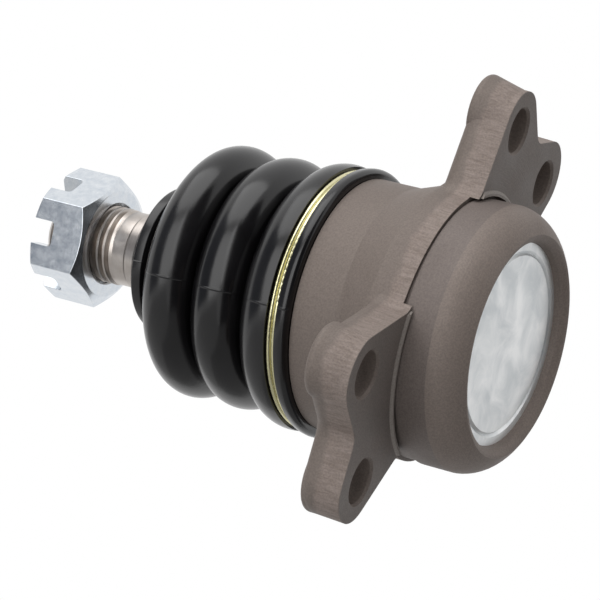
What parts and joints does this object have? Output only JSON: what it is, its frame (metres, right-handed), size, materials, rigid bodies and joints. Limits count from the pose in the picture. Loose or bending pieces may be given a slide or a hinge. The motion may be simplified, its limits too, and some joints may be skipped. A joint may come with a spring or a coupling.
{
  "type": "suspension ball joint",
  "caption": "Flanged ball joint: forged housing with paired bolt ears, rubber bellows, tapered threaded stud and slotted nut.",
  "frame": {"origin": "on the joint's axis, within the turned register that centres the joint in its arm, 1.85 mm below the point where the seating face's plane crosses the axis", "axes": "+Z along the joint's axis towards the stud's threaded end; XZ is the flange's plane of symmetry, +X towards the inner pair of bolt ears; the flange leans 5.4 degrees about Y, its stud side towards +X; the joint stands on its rolled rim"},
  "size_m": [0.0617, 0.0992, 0.1068],
  "materials": {
    "forged_steel": "forged and phosphated, turned on the rim and the seating face",
    "zinc_plated_cap": "pressed sheet, silver zinc plated",
    "machined_steel": "turned and ground",
    "bright_zinc": "bright zinc plated",
    "yellow_zinc": "yellow zinc plated wire",
    "spring_steel": "oiled spring steel",
    "black_rubber": "moulded, glossy black",
    "acetal_seat": "moulded natural acetal"
  },
  "bodies": {
    "housing": {"housing": "forged_steel", "end_cap": "zinc_plated_cap", "boot_ring_wire": "yellow_zinc", "pressure_plate": "spring_steel", "preload_spring": "spring_steel", "lower_seat": "acetal_seat", "upper_seat": "acetal_seat"},
    "boot": {"boot": "black_rubber"},
    "boot_neck": {"boot_neck_ring": "spring_steel"},
    "stud": {"ball_stud": "machined_steel", "castle_nut": "bright_zinc"}
  },
  "joints": [
    {"name": "swing_x", "type": "hinge", "parent": "housing", "child": "boot", "pos_m": [0, 0, 0.015], "axis": [1, 0, 0], "range_deg": [-18, 18], "deforming": ["boot"]},
    {"name": "swing_y", "type": "hinge", "parent": "boot", "child": "boot_neck", "pos_m": [0, 0, 0.015], "axis": [0, 1, 0], "range_deg": [-18, 18], "deforming": ["boot"]},
    {"name": "spin", "type": "hinge", "parent": "boot_neck", "child": "stud", "pos_m": [0, 0, 0.015], "axis": [0, 0, 1], "continuous": true}
  ]
}
